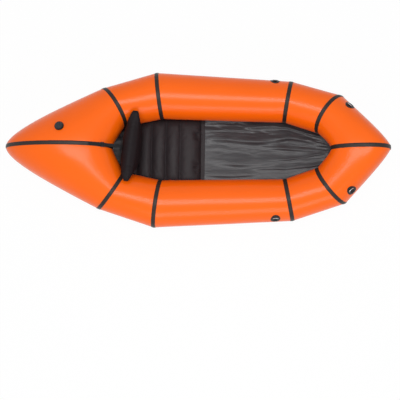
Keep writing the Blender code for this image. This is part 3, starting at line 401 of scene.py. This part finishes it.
def build_skins():
    for word, side in SIDES.items():
        for key, panel in PANELS.items():
            seed = panel_seed(key, side)
            rows = SKIN_ROWS["end" if panel.rounding else "straight"]
            points = [mirrored(panel.skin(angle, row / (rows - 1), seed), side)
                      for row in range(rows) for angle in ANGLES]
            flip = (side > 0) == (key == "stern")
            dress(f"{key}_skin_{word}", points, grid_faces(rows, SKIN_SIDES, True, flip),
                  "hull_fabric", "hull", (f"{key}_panel_{word}",))


def lane(key, seam):
    """The line beside a seam that its tape runs towards, on one of its panels."""
    panel = PANELS[key]
    share = LANE_SHARE if panel.start is seam else 1 - LANE_SHARE
    return lambda angle: panel.point(angle, share)


def tape_points(seam, before, after, seed_before, seed_after):
    """Rows of a tape from one edge to the other, kinked over its seam."""
    points = []
    for place, raised in TAPE_PROFILE:
        along = place * TAPE_WIDTH / 2
        lift = TAPE_LIFT * raised
        toward = before if along < 0 else after
        seed = seed_before if along < 0 else seed_after
        for angle in ANGLES:
            middle = seam.point(angle)
            point = middle + (toward(angle) - middle).normalized() * abs(along)
            dip = crease(angle, abs(along), seed) if along else (
                crease(angle, 0, seed_before) + crease(angle, 0, seed_after)) / 2
            points.append(point + seam.outward(angle) * (TAPE_EDGE + lift - dip))
    return points


def build_tapes():
    rows = len(TAPE_PROFILE)
    for word, side in SIDES.items():
        for name, (back, ahead) in CROSSINGS.items():
            seam = CROSS_SEAMS[name]
            port = tape_points(seam, lane(back, seam), lane(ahead, seam),
                               panel_seed(back, side), panel_seed(ahead, side))
            points = [mirrored(point, side) for point in port]
            faces = grid_faces(rows, SKIN_SIDES, True, flip=side < 0)
            dress(f"{name}_tape_{word}", points, faces, "seam_tape", "hull",
                  (f"{name}_seam_tape_{word}",))
    for name, seam in CENTRE_SEAMS.items():
        port = lane(name, seam)
        points = tape_points(seam, port, lambda angle, run=port: mirrored(run(angle), -1),
                             panel_seed(name, 1), panel_seed(name, -1))
        dress(f"{name}_tape", points, grid_faces(rows, SKIN_SIDES, True), "seam_tape",
              "hull", (f"{name}_seam_tape",))


# Floor

FLOOR_LIFT = 0.0022
FLOOR_COLUMNS = 190
FLOOR_LOWEST = 0.0035
FLOOR_RIM = 0.035            # over which the wrinkles die out beside the tube
FLOOR_STATIONS = (("stern", 8), ("rear_quarter", 14), ("side", 70),
                  ("front_quarter", 30), ("bow", 30))
FOLD_WANDER = 0.13           # how far a fold strays, as a share of the half width
FOLD_WANDER_RATES = (3.2, 2.7, 1)
FOLD_ENDS = 0.16             # length over which a fold rises from either end
FOLD_FLANKS = (1.35, 0.42)   # reach of its port and starboard flank, in its own widths
FOLD_UNEVEN = (0.75, 0.7)    # mean share of its height and how much that varies
FOLD_UNEVEN_RATES = (9, 5.1, 1)
CRUMPLE = 0.0022
CRUMPLE_SHARES = (0.35, 0.9, 0.5)    # everywhere, more to port, and more at the bow
CRUMPLE_PORT = (-0.2, 0.9)           # where that starts and the width it grows over
CRUMPLE_BOW = (0.45, 0.3)
CRUMPLE_RATES = (8.0, 9.0, 1)
CRUMPLE_FINE_SHARE = 0.5
CRUMPLE_FINE_RATES = (17.0, 13.0, 1)
FOLDS = (
    # middle and width as shares of the floor's half width, height, start and end
    (0.36, 0.120, 0.0170, 0.04, 0.82),
    (0.52, 0.050, 0.0080, -0.02, 0.44),
    (0.64, 0.075, 0.0110, 0.26, 0.88),
    (0.80, 0.060, 0.0090, 0.02, 0.40),
    (0.86, 0.050, 0.0070, 0.36, 0.78),
    (0.12, 0.060, 0.0070, 0.40, 0.92),
    (-0.08, 0.045, 0.0052, 0.46, 0.92),
    (-0.22, 0.140, 0.0070, 0.08, 0.60),
    (-0.42, 0.070, 0.0064, 0.34, 0.90),
    (-0.60, 0.110, 0.0062, 0.00, 0.46),
    (-0.72, 0.060, 0.0054, 0.34, 0.84),
    (-0.88, 0.040, 0.0060, 0.02, 0.50),
)


def floor_edge():
    edge = []
    for key, count in FLOOR_STATIONS:
        panel = PANELS[key]
        for k in range(count):
            share = k / count
            share = 1 - share if key == "stern" else share
            out = panel.outward(FLOOR_ANGLE, share)
            edge.append(panel.point(FLOOR_ANGLE, share) + out * FLOOR_LIFT)
    return edge


def fold(x, place):
    """The floor's height in its long wrinkles, which draw together at the bow."""
    total = 0
    for k, (middle, width, height, start, end) in enumerate(FOLDS):
        ends = smooth_share((x - start) / FOLD_ENDS) * smooth_share((end - x) / FOLD_ENDS)
        wander = FOLD_WANDER * noise_at((x, k, 0.5), FOLD_WANDER_RATES)
        away = (place - middle - wander) / width
        reach = FOLD_FLANKS[0 if away > 0 else 1]
        uneven = FOLD_UNEVEN[0] + FOLD_UNEVEN[1] * noise_at((x, k, 3.0), FOLD_UNEVEN_RATES)
        total += height * ends * uneven * math.exp(-(away / reach) ** 2)
    return total + CRUMPLE * crumple(x, place)


def crumple(x, place):
    """Small uneven wrinkles between the folds."""
    everywhere, to_port, at_bow = CRUMPLE_SHARES
    busy = (everywhere
            + to_port * smooth_share((place - CRUMPLE_PORT[0]) / CRUMPLE_PORT[1])
            + at_bow * smooth_share((x - CRUMPLE_BOW[0]) / CRUMPLE_BOW[1]))
    coarse = noise_at((x, place, 3.3), CRUMPLE_RATES)
    fine = 1 - 2 * abs(noise_at((x, place, 6.1), CRUMPLE_FINE_RATES))
    return busy * (coarse + CRUMPLE_FINE_SHARE * fine)


def build_floor():
    edge = floor_edge()
    points = []
    for rim in edge:
        for j in range(FLOOR_COLUMNS + 1):
            place = 1 - 2 * j / FLOOR_COLUMNS
            inside = (1 - abs(place)) * abs(rim.y)
            z = rim.z + fold(rim.x, place) * smooth_share(inside / FLOOR_RIM)
            points.append(Vector((rim.x, rim.y * place, max(z, FLOOR_LOWEST))))
    floor = dress("floor_cloth", points, grid_faces(len(edge), FLOOR_COLUMNS + 1, False),
                  "floor_fabric", "hull", ("floor_sheet",))


# Seat and backrest

CLOTH_FRAMES = 20
CLOTH_QUALITY = 5
CLOTH_PRESSURE = 4.0
SETTLE_REACH = 0.030         # over which a pad is drawn in around a fitting

REST_AHEAD = 0.120           # from the stern's throat to the fold
REST_X = CENTRE_SEAM_SHARES["stern"]["throat"][0] * HULL_LENGTH / 2 + REST_AHEAD
REST_BOTTOM = 0.088
REST_HEIGHT = 0.208
REST_WIDTH = 0.440
REST_DEPTH = 0.119
REST_SKEW = -5.0             # degrees about Z
REST_WRAP = {"left": 0.012, "right": 0.001}     # how far a tip reaches ahead of the middle
REST_SWELL = 0.004           # the farthest that the cloth may move
REST_EXCESS = 0.012          # how much wider the cloth is cut than the pad
REST_STEPS = 14              # rings between two rows of the shares
REST_SMOOTHINGS = 4
REST_AROUND = 56
REST_CREASE_SHARES = (0.4, 1.2)      # at the middle and more at the tips
REST_WAVE = 0.0024
REST_WAVE_RATES = (26, 13, 20)
REST_RIDGE = 0.0050
REST_RIDGE_RATES = (12, 30, 9)
REST_SHARES = (
    # across, bottom, top and depth
    (0.00, 0.00, 1.00, 1.00),
    (0.32, 0.02, 1.00, 0.94),
    (0.58, 0.22, 1.00, 0.78),
    (0.78, 0.74, 1.01, 0.56),
    (0.92, 0.86, 1.00, 0.42),
    (1.00, 0.91, 0.97, 0.30),
)

SEAT_REACH = 0.457           # from the backrest's fold to the front edge
SEAT_WIDTH = 0.452
SEAT_REAR_WIDTH_SHARE = 0.76
SEAT_TAPER_LENGTH = 0.180
SEAT_CHANNELS = 4
SEAT_CHANNEL_PITCH = 0.0925
SEAT_THIGH_LENGTH = 0.135
SEAT_FLANGE = 0.025
SEAT_FRONT = REST_X + SEAT_REACH
THIGH_REAR = SEAT_FRONT - SEAT_FLANGE - SEAT_THIGH_LENGTH
SEAT_REAR = THIGH_REAR - SEAT_CHANNELS * SEAT_CHANNEL_PITCH
SEAT_THICKNESS = 0.063
SEAT_REAR_SHARE = 0.30       # heights at the seat's seams, as shares of its thickness
SEAT_SEAM_SHARE = 0.68
SEAT_THIGH_SHARE = 0.94
SEAT_FLANGE_SHARE = 0.06
SEAT_SIDE_SHARE = 0.10
SEAT_FULLNESS = 3.4          # above 2, a channel is flatter on top
SEAT_LEAN = 1.35             # above 1, a channel is fullest ahead of its middle
THIGH_RISE_RATE = 2.6
THIGH_RISE_POWER = 2.6
THIGH_CREST = 0.28           # where the front channel starts to fall
THIGH_FALL_POWER = 2.2
SEAT_DOME = 0.24             # how much lower the seat is at its sides
SEAT_SCALLOP = 0.028         # how much softer a full channel is at its side seam
THIGH_SCALLOP_SHARE = 0.7
SEAT_SHOULDER = 0.040
SEAT_SIDE_FLANGE = 0.003
SEAT_SWELL = 0.0030
SEAT_EXCESS = 0.003
SEAT_ROWS = 260
SEAT_TOP = 84
SEAT_BOTTOM = 12
SEAM_HOLD = 0.6              # in rows, how near a seam the cloth is held
SEAM_TUFT = 0.0014
SEAM_TUFT_REACH = 0.012
SEAM_TUFT_RATES = (3.1, 55, 1)
SIDE_TUFT = 0.0036
SIDE_TUFT_REACH = 0.03
SIDE_TUFT_RATES = (60, 8, 1)
SOFT_TUFT = 0.0012
SOFT_TUFT_RATES = (14, 9, 1)
FRONT_PUCKER = 0.0200
FRONT_PUCKER_BACK = 0.048    # from the seat's front edge
FRONT_PUCKER_SPREAD = 0.020
FRONT_PUCKER_SHARES = (0.10, 0.90)   # everywhere and more in the two groups
FRONT_PUCKER_ASIDE = 0.100   # from the centre to the middle of either group
FRONT_PUCKER_GROUP = 0.030
FRONT_PUCKER_EDGE = 1.6      # in group widths, where the groups have died out
FRONT_PUCKER_RATES = (38, 4, 1)
FRONT_PUCKER_NARROW = 0.26


def inflate(piece, held, swell, excess):
    """Blow a pad up as cloth, with its sewn lines held, and keep the shape it takes."""
    scene = bpy.context.scene
    piece.vertex_groups.new(name="held").add(held, 1.0, "REPLACE")
    air = piece.modifiers.new("air", "CLOTH")
    cloth = air.settings
    cloth.vertex_group_mass = "held"
    cloth.quality = CLOTH_QUALITY
    cloth.use_pressure = True
    cloth.uniform_pressure_force = CLOTH_PRESSURE
    cloth.shrink_min = -excess
    cloth.effector_weights.gravity = 0
    air.point_cache.frame_start = 1
    air.point_cache.frame_end = CLOTH_FRAMES
    for moment in range(1, CLOTH_FRAMES + 1):
        scene.frame_set(moment)
    blown = piece.evaluated_get(bpy.context.evaluated_depsgraph_get())
    moved = [spot.co.copy() for spot in blown.data.vertices]
    piece.modifiers.remove(air)
    piece.vertex_groups.clear()
    for spot, goal in zip(piece.data.vertices, moved):
        move = goal - spot.co
        spot.co += move * min(1, swell / max(move.length, swell))
    scene.frame_set(1)


def settle(piece, solid, fittings):
    """Draw a pad in around its fittings, to the surface that they are seated on."""
    node = frame["nodes"][solid]
    ground = BVHTree.FromPolygons([node.matrix_world @ spot.co for spot in node.data.vertices],
                                  [tuple(face.vertices) for face in node.data.polygons])
    for name in fittings:
        low, high = (Vector(corner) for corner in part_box(name))
        middle = (low + high) / 2
        for spot in piece.data.vertices:
            away = (spot.co - middle).length - (high - low).length / 2
            pull = smooth_share(1 - away / SETTLE_REACH)
            if pull > 0:
                spot.co = spot.co.lerp(ground.find_nearest(spot.co)[0], pull)


def seat_row(x):
    """Height share of the seat at a place along it, and how soft its side is there."""
    if x < THIGH_REAR:
        along = (x - SEAT_REAR) / SEAT_CHANNEL_PITCH
        share = (along - math.floor(along)) ** SEAT_LEAN
        bulge = 1 - abs(2 * share - 1) ** SEAT_FULLNESS
        low = SEAT_REAR_SHARE if along < 0.5 else SEAT_SEAM_SHARE
        return low + (1 - low) * bulge, SEAT_SCALLOP * math.sqrt(max(0, bulge))
    share = (x - THIGH_REAR) / SEAT_THIGH_LENGTH
    if share >= 1:
        return SEAT_FLANGE_SHARE, 0.0
    risen = 1 - (1 - min(1, share * THIGH_RISE_RATE)) ** THIGH_RISE_POWER
    rise = SEAT_SEAM_SHARE + (SEAT_THIGH_SHARE - SEAT_SEAM_SHARE) * risen
    past_crest = max(0, (share - THIGH_CREST) / (1 - THIGH_CREST))
    fall = math.sqrt(1 - past_crest ** THIGH_FALL_POWER)
    soft = SEAT_SCALLOP * THIGH_SCALLOP_SHARE * math.sqrt(math.sin(math.pi * share))
    return SEAT_FLANGE_SHARE + (rise - SEAT_FLANGE_SHARE) * fall, soft


def tuft(x, y, half_width):
    """Short creases that run off the seat's sewn seams and its side seam."""
    along = (x - SEAT_REAR) / SEAT_CHANNEL_PITCH
    away = abs(along - round(along)) * SEAT_CHANNEL_PITCH
    inside = half_width - abs(y)
    seam = math.exp(-away / SEAM_TUFT_REACH) * noise_at((round(along), y, 2.0), SEAM_TUFT_RATES)
    side = math.exp(-inside / SIDE_TUFT_REACH) * noise_at((x, y, 5.0), SIDE_TUFT_RATES)
    soft = noise_at((x, y, 8.0), SOFT_TUFT_RATES)
    return SEAM_TUFT * seam + SIDE_TUFT * side + SOFT_TUFT * soft


def front_pucker(x, y):
    """Radial creases where the seat's front edge is welded to the floor."""
    near = math.exp(-((x - SEAT_FRONT + FRONT_PUCKER_BACK) / FRONT_PUCKER_SPREAD) ** 2)
    aside = abs(abs(y) - FRONT_PUCKER_ASIDE) / FRONT_PUCKER_GROUP
    everywhere, grouped = FRONT_PUCKER_SHARES
    groups = everywhere + grouped * smooth_share(FRONT_PUCKER_EDGE - aside)
    line = abs(noise_at((y, x, 1.0), FRONT_PUCKER_RATES))
    return -FRONT_PUCKER * near * groups * max(0, 1 - line / FRONT_PUCKER_NARROW)


def side_curve(inside, shoulder):
    """How the seat rises from its side seam, as a share of its crown."""
    return math.sqrt(max(0, 1 - min(1, max(0, 1 - inside / shoulder)) ** 2))


def build_seat():
    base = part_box("seat_cushion")[0][2]
    points = []
    held = []
    columns = SEAT_TOP + SEAT_BOTTOM
    seams = [SEAT_REAR + k * SEAT_CHANNEL_PITCH for k in range(SEAT_CHANNELS + 1)]
    hold = (SEAT_FRONT - SEAT_REAR) / SEAT_ROWS * SEAM_HOLD
    for i in range(SEAT_ROWS + 1):
        x = SEAT_REAR + (SEAT_FRONT - SEAT_REAR) * i / SEAT_ROWS
        on_seam = (x > SEAT_FRONT - SEAT_FLANGE or i == 0
                   or min(abs(x - seam) for seam in seams) < hold)
        high_share, soft = seat_row(x)
        widening = (1 - SEAT_REAR_WIDTH_SHARE) * (x - SEAT_REAR) / SEAT_TAPER_LENGTH
        half = SEAT_WIDTH / 2 * min(1, SEAT_REAR_WIDTH_SHARE + widening)
        thick = SEAT_THICKNESS * high_share
        side = thick * SEAT_SIDE_SHARE
        for j in range(SEAT_TOP + 1):
            y = half * math.cos(math.pi * j / SEAT_TOP)
            crown = side_curve(half - abs(y) - SEAT_SIDE_FLANGE, SEAT_SHOULDER + soft)
            z = side + (thick - side) * crown * (1 - SEAT_DOME * (y / half) ** 2)
            z += (tuft(x, y, half) + front_pucker(x, y)) * crown
            if on_seam or crown == 0:
                held.append(len(points))
            points.append(Vector((x, y, base + max(z, side))))
        for j in range(1, SEAT_BOTTOM):
            y = -half + 2 * half * j / SEAT_BOTTOM
            held.append(len(points))
            points.append(Vector((x, y, base)))
    faces = grid_faces(SEAT_ROWS + 1, columns, True)
    faces.append(tuple(reversed(range(columns))))
    faces.append(tuple(SEAT_ROWS * columns + k for k in range(columns)))
    seat = dress("seat_pad", points, faces, "seat_fabric", "hull", ("seat_cushion",))
    inflate(seat, held, SEAT_SWELL, SEAT_EXCESS)
    settle(seat, "seat_cushion", ("seat_valve_body",))


def rest_rings():
    """Shares of the backrest's rings from its starboard tip to its port tip."""
    rows = [(-row[0], *row[1:]) for row in reversed(REST_SHARES)] + list(REST_SHARES[1:])
    rings = [[a + (b - a) * k / REST_STEPS for a, b in zip(near, far)]
             for near, far in zip(rows, rows[1:]) for k in range(REST_STEPS)]
    rings.append(list(rows[-1]))
    for _ in range(REST_SMOOTHINGS):
        inner = [[(p + 2 * q + r) / 4 for p, q, r in zip(a, b, c)]
                 for a, b, c in zip(rings, rings[1:], rings[2:])]
        rings = [rings[0]] + inner + [rings[-1]]
    return rings


def rest_point(ring, turn):
    """A softly crumpled point of the backrest, before it is put in its place."""
    across_share, low_share, high_share, depth_share = ring
    middle = REST_HEIGHT * (low_share + high_share) / 2
    half = REST_HEIGHT * (high_share - low_share) / 2
    deep = REST_DEPTH / 2 * depth_share
    wrap = REST_WRAP["left" if across_share > 0 else "right"] * across_share ** 2
    spot = Vector((deep * math.cos(turn) + wrap, across_share * REST_WIDTH / 2,
                   middle + half * math.sin(turn)))
    out = Vector((math.cos(turn) * half, 0, math.sin(turn) * deep)).normalized()
    wave = REST_WAVE * abs(noise_at(spot, REST_WAVE_RATES))
    ridge = REST_RIDGE * abs(noise_at(spot, REST_RIDGE_RATES))
    everywhere, at_tips = REST_CREASE_SHARES
    return spot - out * (wave + ridge) * (everywhere + at_tips * across_share ** 2)


def build_rest():
    """The backrest: a hexagonal pillow, drawn in at its tips and softly crumpled."""
    rings = rest_rings()
    place = Matrix.Translation((REST_X, 0, REST_BOTTOM)) @ Matrix.Rotation(
        math.radians(REST_SKEW), 4, "Z")
    points = [place @ rest_point(ring, math.tau * k / REST_AROUND)
              for ring in rings for k in range(REST_AROUND)]
    first_tip = range(REST_AROUND)
    last_tip = range(len(points) - REST_AROUND, len(points))
    faces = grid_faces(len(rings), REST_AROUND, True, flip=True)
    faces += [tuple(first_tip), tuple(reversed(last_tip))]
    rest = dress("backrest_pad", points, faces, "rest_fabric", "backrest",
                 ("backrest_cushion",))
    inflate(rest, [*first_tip, *last_tip], REST_SWELL, REST_EXCESS)
    settle(rest, "backrest_cushion", ("backrest_valve_body", "backrest_strap_patch"))


# Frame nodes

def stand_in(name, node, slot):
    """A copy of a frame node with a new look, shown in the node's place."""
    copy = bpy.data.objects.new(name, frame["nodes"][node].data.copy())
    bpy.context.scene.collection.objects.link(copy)
    copy.data.materials.clear()
    copy.data.materials.append(LOOKS[slot])
    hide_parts(node)
    return copy


def build_spring():
    """The valve's spring, copied from the frame with the steel look and carried on the hull."""
    wire = stand_in("spring_wire", "valve_spring", "steel")
    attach(wire, "hull")
    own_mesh(wire)


def build_strap():
    """The backrest's strap, copied from the frame with the webbing look and baked in place."""
    web = stand_in("strap_web", "backrest_strap", "webbing")
    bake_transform(web)


def dress_frame():
    """The frame's own fittings get the same looks as the dressed pieces."""
    for part in frame["record"]["subparts"]:
        node = frame["nodes"].get(part["node"])
        if node is None:
            continue
        for slot in node.material_slots:
            slot.material = LOOKS[part["material_slot"]]


# Stage

CAMERA_PLACE = (0.1611, -0.6259, 4.3125)
CAMERA_GOAL = (0.0225, -0.0039, 0.1500)
CAMERA_ROLL = 0.0141
FOCAL_PIXELS = 664.21
IMAGE_PIXELS = 400
OPTICAL_AXIS = (198, 150)
CLIP_END = 50.0
WORLD_LEVEL = 0.50
STAGE_REACH = 30.0
STAGE_DROP = 0.0005
STAGE_PAINT = 0.80
FLOOR_GLOW_SHARE = 0.96
LIGHTS = {
    # place, what it points at, size and power
    "overhead": ((0.0, -0.5, 5.2), (0, 0, 0), (4.0, 1.2), 105),
    "strip": ((0.0, 0.35, 4.8), (0, 0.1, 0), (5.0, 0.10), 46),
    "near_side": ((0.4, -4.2, 2.6), (0, 0, 0.1), (3.5, 1.6), 60),
}


def build_camera():
    data = bpy.data.cameras.new("camera")
    data.sensor_width = 36.0
    data.lens = FOCAL_PIXELS / IMAGE_PIXELS * data.sensor_width
    data.shift_x = (IMAGE_PIXELS / 2 - OPTICAL_AXIS[0]) / IMAGE_PIXELS
    data.shift_y = (OPTICAL_AXIS[1] - IMAGE_PIXELS / 2) / IMAGE_PIXELS
    data.clip_end = CLIP_END
    camera = bpy.data.objects.new("camera", data)
    bpy.context.scene.collection.objects.link(camera)
    look = (Vector(CAMERA_GOAL) - Vector(CAMERA_PLACE)).normalized()
    right = look.cross(Vector((0, 1, 0))).normalized()
    up = right.cross(look)
    turned_right = right * math.cos(CAMERA_ROLL) + up * math.sin(CAMERA_ROLL)
    turned_up = up * math.cos(CAMERA_ROLL) - right * math.sin(CAMERA_ROLL)
    turn = Matrix((turned_right, turned_up, -look)).transposed().to_4x4()
    camera.matrix_world = Matrix.Translation(CAMERA_PLACE) @ turn
    bpy.context.scene.camera = camera


def build_lights():
    for name, (place, goal, size, power) in LIGHTS.items():
        data = bpy.data.lights.new(name, "AREA")
        data.shape = "RECTANGLE"
        data.size, data.size_y = size
        data.energy = power
        lamp = bpy.data.objects.new(name, data)
        bpy.context.scene.collection.objects.link(lamp)
        lamp.location = place
        aim = Vector(goal) - Vector(place)
        lamp.rotation_euler = aim.to_track_quat("-Z", "Y").to_euler()


def seen_share(tree):
    """1 for a ray that shows the background, straight or by gloss or glass."""
    seen = tree.nodes.new("ShaderNodeLightPath")
    total = seen.outputs["Is Camera Ray"]
    for kind in ("Is Glossy Ray", "Is Transmission Ray"):
        add = tree.nodes.new("ShaderNodeMath")
        add.operation = "MAXIMUM"
        tree.links.new(total, add.inputs[0])
        tree.links.new(seen.outputs[kind], add.inputs[1])
        total = add.outputs[0]
    return total


def build_world():
    world = bpy.data.worlds.new("studio")
    world.use_nodes = True
    tree = world.node_tree
    background = tree.nodes["Background"]
    level = tree.nodes.new("ShaderNodeMapRange")
    level.inputs["To Min"].default_value = WORLD_LEVEL
    level.inputs["To Max"].default_value = 1.0
    tree.links.new(seen_share(tree), level.inputs["Value"])
    tree.links.new(level.outputs["Result"], background.inputs["Strength"])
    background.inputs["Color"].default_value = (1, 1, 1, 1)
    bpy.context.scene.world = world


def build_stage():
    data = bpy.data.meshes.new("floor")
    corners = [(x * STAGE_REACH, y * STAGE_REACH, 0)
               for x, y in ((-1, -1), (1, -1), (1, 1), (-1, 1))]
    data.from_pydata(corners, [], [(0, 1, 2, 3)])
    floor = bpy.data.objects.new("studio_floor", data)
    floor.location.z = -STAGE_DROP
    bpy.context.scene.collection.objects.link(floor)
    look = bpy.data.materials.new("studio_floor_look")
    look.use_nodes = True
    tree = look.node_tree
    tree.nodes.clear()
    out = tree.nodes.new("ShaderNodeOutputMaterial")
    paint = tree.nodes.new("ShaderNodeBsdfDiffuse")
    paint.inputs["Color"].default_value = (STAGE_PAINT, STAGE_PAINT, STAGE_PAINT, 1)
    glow = tree.nodes.new("ShaderNodeEmission")
    glow.inputs["Strength"].default_value = 1.0
    share = tree.nodes.new("ShaderNodeMath")
    share.operation = "MULTIPLY"
    share.inputs[1].default_value = FLOOR_GLOW_SHARE
    mix = tree.nodes.new("ShaderNodeMixShader")
    tree.links.new(seen_share(tree), share.inputs[0])
    tree.links.new(share.outputs[0], mix.inputs["Fac"])
    tree.links.new(paint.outputs[0], mix.inputs[1])
    tree.links.new(glow.outputs[0], mix.inputs[2])
    tree.links.new(mix.outputs[0], out.inputs["Surface"])
    data.materials.append(look)


bpy.context.scene.view_settings.view_transform = "Standard"
build_camera()
build_world()
build_stage()
build_lights()
dress_frame()
build_skins()
build_tapes()
build_floor()
build_seat()
build_rest()
build_strap()
build_spring()
